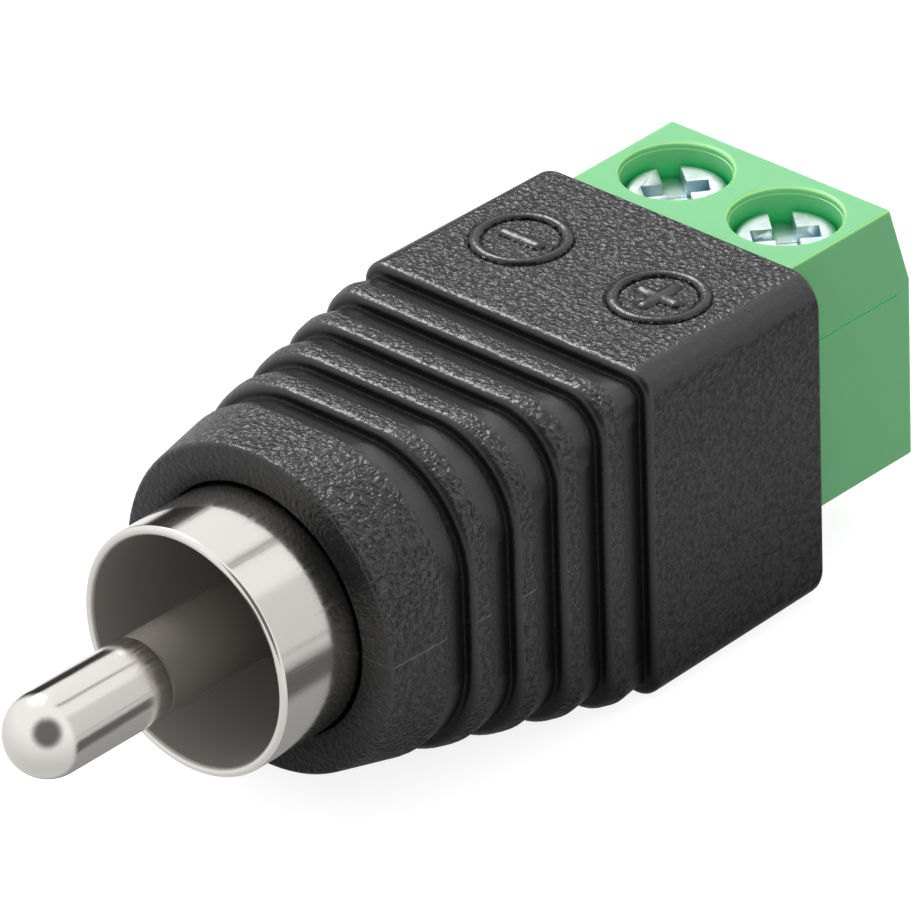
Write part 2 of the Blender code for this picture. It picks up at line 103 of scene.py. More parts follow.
def set_ramp(node, stops):
    """Gives a colour ramp its stops, each a place from 0 to 1 and a colour."""
    elements = node.color_ramp.elements
    for place, shade in stops[1:-1]:
        elements.new(place)
    for element, (place, shade) in zip(elements, stops):
        element.position, element.color = place, shade


def grey(level):
    return (level, level, level, 1)


world = bpy.data.worlds.new("studio")
bpy.context.scene.world = world
world.use_nodes = True
room = world.node_tree
room.nodes.clear()
direction = add_node(room, "TexCoord").outputs["Generated"]
ways = add_node(room, "SeparateXYZ", {"Vector": direction}).outputs
round_axis = add_node(room, "Math", {0: ways["Z"], 1: ways["X"]}, operation="ARCTAN2").outputs[0]
turn = add_node(room, "MapRange", {"Value": round_axis, "From Min": -pi, "From Max": pi}).outputs[0]
bands = add_node(room, "ValToRGB", {"Fac": turn})
set_ramp(bands, [((angle + 180) / 360, grey(shade)) for angle, shade in BANDS])
depth = add_node(room, "MapRange", {
    "Value": ways["Y"], "From Min": BAND_DEPTH[0], "From Max": BAND_DEPTH[1],
}, interpolation_type="SMOOTHSTEP").outputs[0]
open_room = add_node(room, "MapRange", {
    "Value": ways["Z"], "From Min": ROOM_HEIGHTS[0], "From Max": ROOM_HEIGHTS[1],
    "To Min": ROOM_LOW, "To Max": 1.0,
}).outputs[0]
walls = add_node(room, "Mix", {"Factor": depth, 6: open_room, 7: bands.outputs["Color"]}, data_type="RGBA")
towards = add_node(room, "VectorMath", {0: direction, 1: tuple(back)}, operation="DOT_PRODUCT")
patch = add_node(room, "MapRange", {
    "Value": towards.outputs["Value"], "From Min": CAMERA_PATCH[0], "From Max": CAMERA_PATCH[1],
    "To Min": 1.0, "To Max": PATCH_SHADE,
}, interpolation_type="SMOOTHSTEP").outputs[0]
mirrored = add_node(room, "LightPath").outputs["Is Glossy Ray"]
studio = add_node(room, "Mix", {
    "Factor": mirrored, 6: walls.outputs[2], 7: patch,
}, data_type="RGBA", blend_type="MULTIPLY").outputs[2]
seen = add_node(room, "LightPath").outputs["Is Camera Ray"]
lit = add_node(room, "Background", {"Color": studio, "Strength": STUDIO_LIGHT})
backdrop = add_node(room, "Background", {"Color": grey(1), "Strength": 1.0})
both = add_node(room, "MixShader", {0: seen, 1: lit.outputs[0], 2: backdrop.outputs[0]})
add_node(room, "OutputWorld", {"Surface": both.outputs[0]})

# A softbox stands to the left of the plug, halfway up. It lights the tops, glints on the
# moulding's grain, and leaves the near sides dark.
KEY_TURN, KEY_DEPTH = radians(128), 0.2
KEY_DISTANCE, KEY_SIZE = 500 * MM, 200 * MM
KEY_POWER = 1.6

across = sqrt(1 - KEY_DEPTH**2)
key_way = Vector((across * cos(KEY_TURN), KEY_DEPTH, across * sin(KEY_TURN)))
softbox = bpy.data.lights.new("softbox", "AREA")
softbox.size, softbox.energy = KEY_SIZE, KEY_POWER
key = bpy.data.objects.new("softbox", softbox)
key.location = aim + key_way * KEY_DISTANCE
key.rotation_euler = key_way.to_track_quat("Z", "Y").to_euler()
bpy.context.scene.collection.objects.link(key)

# The floor is pale matt paper. A camera ray sees it brighter, so that it ends white and still
# keeps a faint shadow under the plug.
FLOOR_SIZE = 3000 * MM
FLOOR_GLOW = 0.84


def linear(code):
    """The linear colour of an sRGB hex code."""
    shades = [int(code[place : place + 2], 16) / 255 for place in (1, 3, 5)]
    return (*[s / 12.92 if s <= 0.04045 else ((s + 0.055) / 1.055) ** 2.4 for s in shades], 1)


def new_finish(name):
    """A material with its node tree, its shader and the piece's own coordinates in metres."""
    material = bpy.data.materials.new(name)
    material.use_nodes = True
    tree = material.node_tree
    place = add_node(tree, "TexCoord").outputs["Object"]
    return material, tree, tree.nodes["Principled BSDF"], place


bpy.ops.object.select_all(action="DESELECT")
bpy.ops.mesh.primitive_plane_add(size=FLOOR_SIZE, location=(0, 0, body_low.z))
floor = bpy.context.object
floor.name = "floor"
floor.visible_glossy = False
paper, tree, shader, place = new_finish("matt_paper")
shader.inputs["Base Color"].default_value = linear("#9c9c9c")
shader.inputs["Roughness"].default_value = 0.95
shader.inputs["Specular IOR Level"].default_value = 0.1
shader.inputs["Emission Color"].default_value = grey(1)
seen = add_node(tree, "LightPath").outputs["Is Camera Ray"]
glow = add_node(tree, "Math", {0: seen, 1: FLOOR_GLOW}, operation="MULTIPLY")
tree.links.new(glow.outputs[0], shader.inputs["Emission Strength"])
floor.data.materials.append(paper)


# The moulding is soft black PVC, injected round the plug and the terminal block in one shot.
# A rounded block at the rear turns into four ribs and a round boss, whose corners grow rounder
# from section to section until the front face is a circle.
SECTION_POINTS = 88
ARC_POINTS = 18
BODY_WIDTH, BODY_HEIGHT = 13.1 * MM, 12.8 * MM
BLOCK_LENGTH = 8.9 * MM
BLOCK_CORNER, NOSE_CORNER = 1.3 * MM, 0.95 * MM
EDGE_RADIUS = 0.3 * MM
EDGE_STEPS = 5
RIB_COUNT, RIB_PITCH, RIB_SLOPE = 4, 2.15 * MM, 1.3 * MM
GROOVE_DEPTH, GROOVE_FILLET = 0.45 * MM, 0.12 * MM
SLOPE_EASE, EASE_DEPTHS = 0.15 * MM, (0.19 * MM, 0.05 * MM)
FRONT_ROUNDING = 0.16 * MM
FIT = 0.06 * MM
collar_low, collar_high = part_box("plug_collar")
collar_radius = collar_high.x
LUG_LENGTH = 3.6 * MM
collar_mouth, collar_rear = collar_low.y, collar_high.y - LUG_LENGTH
axis_z = (collar_low.z + collar_high.z) / 2
boss_radius = axis_z - 1.0 * MM
nose_length = rear_y - body_low.y - BLOCK_LENGTH
housing_low, housing_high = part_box("terminal_housing")


def edit(piece):
    """Opens one piece alone for editing, with nothing selected in it."""
    if bpy.context.mode != "OBJECT":
        bpy.ops.object.mode_set(mode="OBJECT")
    bpy.ops.object.select_all(action="DESELECT")
    piece.select_set(True)
    bpy.context.view_layer.objects.active = piece
    bpy.ops.object.mode_set(mode="EDIT")
    bpy.ops.mesh.select_all(action="DESELECT")
    return bmesh.from_edit_mesh(piece.data)


def close(piece, smooth=35, weld=0.001 * MM):
    """Ends the editing: welds doubles, turns the faces outwards and smooths what meets at a low angle.

    The largest faces keep their own direction, so that flats and long walls shade evenly.
    """
    bpy.ops.mesh.select_all(action="SELECT")
    bpy.ops.mesh.remove_doubles(threshold=weld)
    bpy.ops.mesh.dissolve_degenerate(threshold=weld)
    bpy.ops.mesh.normals_make_consistent(inside=False)
    bpy.ops.object.mode_set(mode="OBJECT")
    bpy.ops.object.shade_smooth_by_angle(angle=radians(smooth))
    even = piece.modifiers.new("even", "WEIGHTED_NORMAL")
    even.keep_sharp = True
    bpy.ops.object.modifier_apply(modifier=even.name)
    piece.select_set(False)


def combine(piece, tool, operation="DIFFERENCE"):
    """Cuts a piece with a tool, or joins the tool to it, and removes the tool."""
    step = piece.modifiers.new("combine", "BOOLEAN")
    step.operation, step.solver, step.object = operation, "MANIFOLD", tool
    bpy.ops.object.select_all(action="DESELECT")
    bpy.context.view_layer.objects.active = piece
    bpy.ops.object.modifier_apply(modifier=step.name)
    bpy.data.objects.remove(tool)


def corner_point(angle, half_width, half_height, corner):
    """Where a line at this angle from the middle meets a rounded rectangle."""
    along, rise = abs(cos(angle)), abs(sin(angle))
    flat_x, flat_z = half_width - corner, half_height - corner
    if along * flat_z >= rise * half_width:
        reach = half_width / along
    elif rise * flat_x >= along * half_height:
        reach = half_height / rise
    else:
        nearest = flat_x * along + flat_z * rise
        reach = nearest + sqrt(max(nearest**2 - flat_x**2 - flat_z**2 + corner**2, 0))
    return reach * cos(angle), reach * sin(angle)


def block_angle(point):
    """The angle of a point of the block's section, most of which lie on its four corner arcs."""
    quarter, step = divmod(point, SECTION_POINTS // 4)
    half_width, half_height = BODY_WIDTH / 2, BODY_HEIGHT / 2
    flat = (half_width - BLOCK_CORNER, half_height - BLOCK_CORNER)
    if step < ARC_POINTS:
        turned = step / (ARC_POINTS - 1) * pi / 2 + quarter * pi / 2
        side = (1, -1, -1, 1)[quarter], (1, 1, -1, -1)[quarter]
        along = side[0] * flat[0] + BLOCK_CORNER * cos(turned)
        return atan2(side[1] * flat[1] + BLOCK_CORNER * sin(turned), along)
    share = (step - ARC_POINTS + 1) / (SECTION_POINTS // 4 - ARC_POINTS + 1)
    start = ((1, 1), (-1, 1), (-1, -1), (1, -1))[quarter]
    end = ((-1, 1), (-1, -1), (1, -1), (1, 1))[quarter]
    reach = (half_width, flat[1]) if quarter % 2 else (flat[0], half_height)
    x = (start[0] + (end[0] - start[0]) * share) * reach[0]
    z = (start[1] + (end[1] - start[1]) * share) * reach[1]
    return atan2(z, x)


def section_point(point, section):
    """One point of a section of the moulding.

    A section is its distance ahead of the rear face, its halves, middle, corner and evenness.
    """
    ahead, half_width, half_height, middle, corner, evenness = section
    even = pi / 4 + (point - (ARC_POINTS - 1) / 2) * 2 * pi / SECTION_POINTS
    dense = block_angle(point)
    dense += 2 * pi * round((even - dense) / (2 * pi))
    x, z = corner_point(dense + (even - dense) * evenness, half_width, half_height, corner)
    return x, rear_y - ahead, middle + z


def block_section(ahead, inset):
    corner = BLOCK_CORNER + (NOSE_CORNER - BLOCK_CORNER) * ahead / BLOCK_LENGTH
    return ahead, BODY_WIDTH / 2 - inset, BODY_HEIGHT / 2 - inset, BODY_HEIGHT / 2, corner - inset, 0


def nose_section(ahead, inset):
    share = ahead / nose_length
    half_width = BODY_WIDTH / 2 + (boss_radius - BODY_WIDTH / 2) * share
    half_height = BODY_HEIGHT / 2 + (boss_radius - BODY_HEIGHT / 2) * share
    middle = BODY_HEIGHT / 2 + (axis_z - BODY_HEIGHT / 2) * share
    corner = NOSE_CORNER + (boss_radius - NOSE_CORNER) * share
    return BLOCK_LENGTH + ahead, half_width - inset, half_height - inset, middle, corner - inset, share


def round_section(ahead, radius):
    return ahead, radius, radius, axis_z, radius, 1


def rounded(make, wall, radius):
    """Sections over a rounded edge that turns from the outside down into a wall."""
    turns = [step / EDGE_STEPS * pi / 2 for step in range(EDGE_STEPS + 1)]
    return [make(wall - radius * (1 - sin(turn)), radius * (1 - cos(turn))) for turn in turns]


def rib_rise(wall):
    """Sections from the foot of a wall up the slope to the next land."""
    steep = GROOVE_DEPTH / RIB_SLOPE
    return [
        nose_section(wall, GROOVE_DEPTH - GROOVE_FILLET / 2),
        nose_section(wall + GROOVE_FILLET / 3, GROOVE_DEPTH),
        nose_section(wall + GROOVE_FILLET, GROOVE_DEPTH),
        nose_section(wall + RIB_SLOPE - SLOPE_EASE, EASE_DEPTHS[0] * steep),
        nose_section(wall + RIB_SLOPE, EASE_DEPTHS[1] * steep),
        nose_section(wall + RIB_SLOPE + SLOPE_EASE, 0),
    ]


turns = [step / EDGE_STEPS * pi / 2 for step in range(EDGE_STEPS + 1)]
sections = [
    block_section(EDGE_RADIUS * (1 - cos(turn)), EDGE_RADIUS * (1 - sin(turn))) for turn in turns
]
sections += rounded(block_section, BLOCK_LENGTH, EDGE_RADIUS) + rib_rise(0)
for rib in range(1, RIB_COUNT + 1):
    sections += rounded(nose_section, rib * RIB_PITCH, EDGE_RADIUS) + rib_rise(rib * RIB_PITCH)
sections += rounded(nose_section, nose_length, FRONT_ROUNDING)
front = rear_y - body_low.y
hole = collar_radius + FIT
# The flat front face comes next, then the hole for the collar, with a chamfered mouth.
for ahead, radius in (
    (front, hole + 0.5 * MM),
    (front, hole + 0.12 * MM),
    (front - 0.04 * MM, hole + 0.04 * MM),
    (front - 0.12 * MM, hole),
    (rear_y - collar_rear - FIT, hole),
):
    sections.append(round_section(ahead, radius))

bpy.ops.object.select_all(action="DESELECT")
bpy.ops.mesh.primitive_circle_add(vertices=SECTION_POINTS, radius=BODY_WIDTH / 2, fill_type="NGON")
moulding = bpy.context.object
moulding.name = "ribbed_moulding"
shape = edit(moulding)
number = shape.verts.layers.int.new("number")
for vert in shape.verts:
    vert[number] = vert.index
    vert.co = section_point(vert.index, sections[0])
    vert.select = True
shape.select_flush(True)
bmesh.update_edit_mesh(moulding.data)
for section in sections[1:]:
    bpy.ops.mesh.extrude_region_move()
    shape = bmesh.from_edit_mesh(moulding.data)
    number = shape.verts.layers.int["number"]
    for vert in shape.verts:
        if vert.select:
            vert.co = section_point(vert[number], section)
    bmesh.update_edit_mesh(moulding.data)
close(moulding)

# Rings with rounded backs stand on the block's top, a bar in the left one and a cross in the right.
# A shallow ditch runs along both feet of every ring and bar.
MARK_DIAMETER, MARK_BAR = 3.6 * MM, 2.2 * MM
MARK_SPACING, MARK_SETBACK = 6.28 * MM, 4.5 * MM
MARK_HEIGHT = 0.14 * MM
RING_BEAD, BAR_BEAD = 0.23 * MM, 0.36 * MM
DITCH, DITCH_DEPTH = 0.8 * MM, 0.075 * MM
RING_INSET, CROSS_LIFT = 0.2 * MM, 0.004 * MM


def mark_ring(centre, girth):
    """A ring with a round section, to be joined to the moulding or cut from it."""
    bpy.ops.object.select_all(action="DESELECT")
    bpy.ops.mesh.primitive_torus_add(
        location=centre, major_segments=96, minor_segments=96 if girth == DITCH else 24,
        major_radius=MARK_DIAMETER / 2 - RING_INSET, minor_radius=girth,
    )
    bpy.ops.object.transform_apply(location=True, rotation=True, scale=True)
    return bpy.context.object


def mark_bar(centre, across, girth):
    """A bar with round ends and a round section, to be joined to the moulding or cut from it."""
    bpy.ops.object.select_all(action="DESELECT")
    bpy.ops.mesh.primitive_uv_sphere_add(segments=64, ring_count=48, radius=girth, location=centre)
    bar = bpy.context.object
    bpy.ops.object.transform_apply(location=True, rotation=True, scale=True)
    stretch = MARK_BAR / 2 - BAR_BEAD
    shape = edit(bar)
    for vert in shape.verts:
        way = vert.co - centre
        along = way.x if across else way.y
        if abs(along) > 1e-3 * MM:
            shift = stretch if along > 0 else -stretch
            vert.co += Vector((shift, 0, 0)) if across else Vector((0, shift, 0))
    bmesh.update_edit_mesh(bar.data)
    bpy.ops.object.mode_set(mode="OBJECT")
    return bar


for side in (-1, 1):
    foot = Vector((side * MARK_SPACING / 2, rear_y - MARK_SETBACK, BODY_HEIGHT))
    for ring_girth, ring_rise, bar_girth, bar_rise, operation in (
        (DITCH, DITCH - DITCH_DEPTH, DITCH, DITCH - DITCH_DEPTH, "DIFFERENCE"),
        (RING_BEAD, MARK_HEIGHT - RING_BEAD, BAR_BEAD, MARK_HEIGHT - BAR_BEAD, "UNION"),
    ):
        combine(moulding, mark_ring(foot + Vector((0, 0, ring_rise)), ring_girth), operation)
        combine(moulding, mark_bar(foot + Vector((0, 0, bar_rise)), True, bar_girth), operation)
        if side > 0:
            lift = Vector((0, 0, bar_rise + CROSS_LIFT))
            combine(moulding, mark_bar(foot + lift, False, bar_girth), operation)

# The terminal block's front end sits in a pocket that the moulding forms round it.
SHOULDER_DROP = 1.6 * MM
pocket_low = Vector((housing_low.x - FIT, housing_low.y - FIT, housing_low.z - FIT))
pocket_high = Vector((housing_high.x + FIT, rear_y + 1 * MM, housing_high.z - SHOULDER_DROP + FIT))


def block(low, high):
    """A box between two corners, with its place in its mesh."""
    low, high = Vector(low), Vector(high)
    bpy.ops.object.select_all(action="DESELECT")
    bpy.ops.mesh.primitive_cube_add(size=1, location=(low + high) / 2, scale=high - low)
    bpy.ops.object.transform_apply(location=True, rotation=True, scale=True)
    return bpy.context.object


def coat(piece, material):
    """Gives a piece this material alone."""
    piece.data.materials.clear()
    piece.data.materials.append(material)


combine(moulding, block(pocket_low, pocket_high))
edit(moulding)
close(moulding)
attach(moulding, "root")
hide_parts("body_overmould")

# Soft PVC, moulded in a tool with an etched leather grain on its flats, lands and boss.
# The slopes and rounded edges come out smooth and so catch a clearer light. The sheen is painted weaker
# low on the sides and down in the grooves, where less of the room is open, and between the grains: painted
# shade.
# The grain's valleys are also painted darker than its ridges.
GRAIN = 0.2 * MM
GRAIN_DEPTH = 0.1 * MM
SATIN = 0.05 * MM
SATIN_DEPTH = 0.006 * MM
PARTING_WIDTH, PARTING_RISE = 0.05 * MM, 0.04 * MM
PARTING_START, PARTING_SIDE = 0.5 * MM, 4 * MM
SHADE_REACH = 8 * MM

pvc, tree, shader, place = new_finish("moulded_pvc")
parts = add_node(tree, "SeparateXYZ", {"Vector": place}).outputs


def smooth_stops():
    """How strong the grain is along the body, from the rear face to the front face."""
    stops = [(0, 0.2), (0.35, 1), (8.5, 1), (8.75, 0.08)]
    for rib in range(RIB_COUNT + 1):
        wall = (BLOCK_LENGTH + rib * RIB_PITCH) / MM
        stops += [(wall + 1.15, 0.06), (wall + 1.4, 1)]
        if rib < RIB_COUNT:
            stops += [(wall + 1.8, 1), (wall + 2.0, 0.08)]
    stops += [(front / MM - 0.2, 1), (front / MM - 0.02, 0.25)]
    return [(place * MM / front, grey(level)) for place, level in stops]


ahead = add_node(tree, "MapRange", {"Value": parts["Y"], "From Min": rear_y, "From Max": rear_y - front})
lengthwise = add_node(tree, "ValToRGB", {"Fac": ahead.outputs[0]})
set_ramp(lengthwise, smooth_stops())
from_side = add_node(tree, "Math", {0: parts["X"]}, operation="ABSOLUTE")
from_side = add_node(tree, "Math", {
    0: from_side.outputs[0], 1: BODY_WIDTH / 2 - BLOCK_CORNER,
}, operation="SUBTRACT")
from_middle = add_node(tree, "Math", {0: parts["Z"], 1: BODY_HEIGHT / 2}, operation="SUBTRACT")
from_middle = add_node(tree, "Math", {0: from_middle.outputs[0]}, operation="ABSOLUTE")
from_top = add_node(tree, "Math", {
    0: from_middle.outputs[0], 1: BODY_HEIGHT / 2 - BLOCK_CORNER,
}, operation="SUBTRACT")
in_corner = add_node(tree, "Math", {0: from_side.outputs[0], 1: from_top.outputs[0]}, operation="MINIMUM")
corners = add_node(tree, "MapRange", {
    "Value": in_corner.outputs[0], "From Min": 0.1 * MM, "From Max": 0.5 * MM, "To Min": 1.0, "To Max": 0.15,
})
marks = add_node(tree, "MapRange", {
    "Value": parts["Z"], "From Min": BODY_HEIGHT + 0.005 * MM, "From Max": BODY_HEIGHT + 0.04 * MM,
    "To Min": 1.0, "To Max": 0.1,
})
on_nose = add_node(tree, "Math", {0: parts["Y"], 1: rear_y - BLOCK_LENGTH}, operation="LESS_THAN")
grained = add_node(tree, "Math", {0: corners.outputs[0], 1: marks.outputs[0]}, operation="MULTIPLY")
grained = add_node(tree, "Math", {0: grained.outputs[0], 1: on_nose.outputs[0]}, operation="MAXIMUM")
grained = add_node(tree, "Math", {0: grained.outputs[0], 1: lengthwise.outputs[0]}, operation="MULTIPLY")
leather = add_node(tree, "TexNoise", {
    "Vector": place, "Scale": 1 / GRAIN, "Detail": 0.8, "Roughness": 0.45, "Distortion": 0.6,
})
relief = add_node(tree, "MapRange", {"Value": leather.outputs[0], "From Min": 0.22, "From Max": 0.78})
level_out = add_node(tree, "Math", {0: relief.outputs[0], 1: 0.5}, operation="SUBTRACT")
relief = add_node(tree, "Math", {0: level_out.outputs[0], 1: grained.outputs[0]}, operation="MULTIPLY")
satin = add_node(tree, "TexNoise", {"Vector": place, "Scale": 1 / SATIN, "Detail": 2.0})
fine = add_node(tree, "Bump", {"Height": satin.outputs[0], "Distance": SATIN_DEPTH})
coarse = add_node(tree, "Bump", {
    "Height": relief.outputs[0], "Distance": GRAIN_DEPTH, "Normal": fine.outputs[0],
})

# The mould's two halves met at the plug's axis and left a fine line along the lands' sides.
off_line = add_node(tree, "Math", {0: parts["Z"], 1: axis_z}, operation="SUBTRACT")
off_line = add_node(tree, "Math", {0: off_line.outputs[0]}, operation="ABSOLUTE")
line = add_node(tree, "MapRange", {
    "Value": off_line.outputs[0], "From Min": PARTING_WIDTH / 4, "From Max": PARTING_WIDTH,
    "To Min": 1.0, "To Max": 0.0,
})
beside = add_node(tree, "Math", {0: parts["X"]}, operation="ABSOLUTE")
beside = add_node(tree, "Math", {0: beside.outputs[0], 1: PARTING_SIDE}, operation="GREATER_THAN")
before = add_node(tree, "Math", {0: parts["Y"], 1: PARTING_START}, operation="LESS_THAN")
line = add_node(tree, "Math", {0: line.outputs[0], 1: beside.outputs[0]}, operation="MULTIPLY")
line = add_node(tree, "Math", {0: line.outputs[0], 1: before.outputs[0]}, operation="MULTIPLY")
line = add_node(tree, "Math", {0: line.outputs[0], 1: lengthwise.outputs[0]}, operation="MULTIPLY")
parting = add_node(tree, "Bump", {
    "Height": line.outputs[0], "Distance": PARTING_RISE, "Normal": coarse.outputs[0],
})
tree.links.new(parting.outputs[0], shader.inputs["Normal"])
# Painted shade: the grain's valleys are painted darker and its ridges lighter, to deepen the grain.
valley = add_node(tree, "MapRange", {"Value": relief.outputs[0], "From Min": -0.25, "From Max": 0.25})
tone = add_node(tree, "Mix", {
    "Factor": valley.outputs[0], 6: linear("#050505"), 7: linear("#1a1a1c"),
}, data_type="RGBA")
tone = add_node(tree, "Mix", {
    "Factor": line.outputs[0], 6: tone.outputs[2], 7: linear("#5c5c5e"),
}, data_type="RGBA")
tree.links.new(tone.outputs[2], shader.inputs["Base Color"])
gloss = add_node(tree, "MapRange", {"Value": grained.outputs[0], "To Min": 0.3, "To Max": 0.41})
tree.links.new(gloss.outputs[0], shader.inputs["Roughness"])
# Painted shade: the sheen is turned down where little of the room is open, low on the sides and in the
# grooves.
open_sky = add_node(tree, "AmbientOcclusion", {"Distance": SHADE_REACH}, samples=8)
sheen = add_node(tree, "MapRange", {
    "Value": open_sky.outputs["AO"], "From Min": 0.45, "From Max": 1.0, "To Min": 0.06, "To Max": 0.68,
})
# Painted shade: the sheen is weaker in the grain's valleys and stronger on its ridges.
painted_grain_sheen = add_node(tree, "MapRange", {"Value": valley.outputs[0], "To Min": 0.82, "To Max": 1.18})
sheen = add_node(tree, "Math", {0: sheen.outputs[0], 1: painted_grain_sheen.outputs[0]}, operation="MULTIPLY")
tree.links.new(sheen.outputs[0], shader.inputs["Specular IOR Level"])
shader.inputs["IOR"].default_value = 1.56
coat(moulding, pvc)


# The collar is drawn from brass sheet and nickel plated. Its rim is rolled round at the mouth,
# its pierced base sits in the moulding, and a solder lug runs back from its left side.
COLLAR_WALL = 0.35 * MM
LUG_WIDTH = 2.0 * MM
HOLE_RADIUS, BASE_BEND = 2.1 * MM, 0.3 * MM
TURNED_SIDES = 128


def turn_piece(name, profile, line, way, sides=TURNED_SIDES, hollow=False):
    """Draws half of a turned piece's section, point by point, and spins it round its line.

    The profile's points are distances from the line and along the way, from a point on the line.
    """
    line, way = Vector(line), Vector(way)
    out = Vector((1, 0, 0))
    places = [line + out * radius + way * height for radius, height in profile]
    bpy.ops.object.select_all(action="DESELECT")
    bpy.ops.mesh.primitive_plane_add(size=1 * MM, location=places[0])
    piece = bpy.context.object
    piece.name = name
    bpy.ops.object.transform_apply(location=True, rotation=True, scale=True)
    edit(piece)
    bpy.ops.mesh.select_all(action="SELECT")
    bpy.ops.mesh.merge(type="CENTER")
    for near, far in zip(places, places[1:]):
        bpy.ops.mesh.extrude_region_move(TRANSFORM_OT_translate={"value": far - near})
    if hollow:
        shape = bmesh.from_edit_mesh(piece.data)
        shape.edges.new([vert for vert in shape.verts if len(vert.link_edges) == 1])
        bmesh.update_edit_mesh(piece.data)
    bpy.ops.mesh.select_all(action="SELECT")
    bpy.ops.mesh.spin(steps=sides, angle=2 * pi, center=line, axis=way)
    return piece


def arc(radius, height, size, start, end, steps):
    """Points of a profile on a circle round (radius, height), its angles in degrees."""
    turns = [radians(start + (end - start) * step / steps) for step in range(steps + 1)]
    return [(radius + size * cos(turn), height + size * sin(turn)) for turn in turns]


FORWARD = (0, -1, 0)
reach = collar_rear - collar_mouth
inner = collar_radius - COLLAR_WALL
profile = [(HOLE_RADIUS, 0), (collar_radius - BASE_BEND, 0)]
profile += arc(collar_radius - BASE_BEND, BASE_BEND, BASE_BEND, -90, 0, 5)[1:]
profile += arc(collar_radius - COLLAR_WALL / 2, reach - COLLAR_WALL / 2, COLLAR_WALL / 2, 0, 180, 12)
profile += [(inner, COLLAR_WALL), (HOLE_RADIUS, COLLAR_WALL)]
collar = turn_piece("plug_shell", profile, (0, collar_rear, axis_z), FORWARD, hollow=True)
close(collar)
lug = block(
    (-collar_radius, collar_rear - 0.2 * MM, axis_z - LUG_WIDTH / 2),
    (-collar_radius + COLLAR_WALL, collar_high.y, axis_z + LUG_WIDTH / 2),
)
combine(collar, lug, "UNION")
edit(collar)
close(collar)
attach(collar, "root")
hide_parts("plug_collar")

# Bright nickel plate over drawn or turned brass: nearly a mirror, with faint draw marks along the
# plug that stretch what it reflects. Inside the collar it is duller and a little darker.
STREAK = 0.09 * MM
STREAK_STRETCH = 0.03
STREAK_DEPTH = 0.0009 * MM
RIPPLE, RIPPLE_DEPTH = 0.35 * MM, 0.002 * MM
HOLLOW_ROUGHNESS, HOLLOW_METAL = 0.5, 0.5

nickel, tree, shader, place = new_finish("nickel_plated_brass")
lengths = add_node(tree, "Mapping", {"Vector": place, "Scale": (1, STREAK_STRETCH, 1)})
drawn = add_node(tree, "TexNoise", {"Vector": lengths.outputs[0], "Scale": 1 / STREAK, "Detail": 3.0})
marks = add_node(tree, "Bump", {"Height": drawn.outputs[0], "Distance": STREAK_DEPTH})
waves = add_node(tree, "TexNoise", {"Vector": place, "Scale": 1 / RIPPLE, "Detail": 3.0})
waves = add_node(tree, "Bump", {
    "Height": waves.outputs[0], "Distance": RIPPLE_DEPTH, "Normal": marks.outputs[0],
})
tree.links.new(waves.outputs[0], shader.inputs["Normal"])
haze = add_node(tree, "MapRange", {
    "Value": drawn.outputs[0], "From Min": 0.3, "From Max": 0.7, "To Min": 0.09, "To Max": 0.19,
})
from_axis = add_node(tree, "Mapping", {"Vector": place, "Location": (0, 0, -axis_z), "Scale": (1, 0, 1)})
from_axis = add_node(tree, "VectorMath", {0: from_axis.outputs[0]}, operation="LENGTH").outputs["Value"]
within = add_node(tree, "MapRange", {
    "Value": from_axis, "From Min": inner + 0.04 * MM, "From Max": inner + 0.1 * MM,
    "To Min": 1.0, "To Max": 0.0,
})
beyond_pin = add_node(tree, "Math", {0: from_axis, 1: HOLE_RADIUS * 0.9}, operation="GREATER_THAN")
hollow = add_node(tree, "Math", {0: within.outputs[0], 1: beyond_pin.outputs[0]}, operation="MULTIPLY")
dull = add_node(tree, "Mix", {
    "Factor": hollow.outputs[0], 2: haze.outputs[0], 3: HOLLOW_ROUGHNESS,
}, data_type="FLOAT")
tree.links.new(dull.outputs[0], shader.inputs["Roughness"])
bare = add_node(tree, "Mix", {
    "Factor": hollow.outputs[0], 2: 1.0, 3: HOLLOW_METAL,
}, data_type="FLOAT")
tree.links.new(bare.outputs[0], shader.inputs["Metallic"])
tone = add_node(tree, "Mix", {
    "Factor": hollow.outputs[0], 6: linear("#e4e1db"), 7: linear("#b9b6b0"),
}, data_type="RGBA")
tree.links.new(tone.outputs[2], shader.inputs["Base Color"])
coat(collar, nickel)

# The centre pin is turned from brass rod, with a round nose and a stem that runs back through
# the post, and is plated as the collar is.
pin_low, pin_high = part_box("centre_pin")
PIN_LENGTH = 6.0 * MM
STEM_RADIUS = 0.7 * MM
PIN_CHAMFER = 0.12 * MM
pin_radius = pin_high.x
shoulder, tip = pin_high.y - pin_low.y - PIN_LENGTH, pin_high.y - pin_low.y
profile = [(0, 0), (STEM_RADIUS, 0), (STEM_RADIUS, shoulder), (pin_radius - PIN_CHAMFER, shoulder)]
profile += arc(pin_radius - PIN_CHAMFER, shoulder + PIN_CHAMFER, PIN_CHAMFER, -90, 0, 4)[1:]
profile += arc(0, tip - pin_radius, pin_radius, 0, 90, 20)[:-1] + [(0, tip)]
pin = turn_piece("turned_pin", profile, (0, pin_high.y, axis_z), FORWARD, 96)
close(pin)
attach(pin, "root")
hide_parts("centre_pin")
coat(pin, nickel)

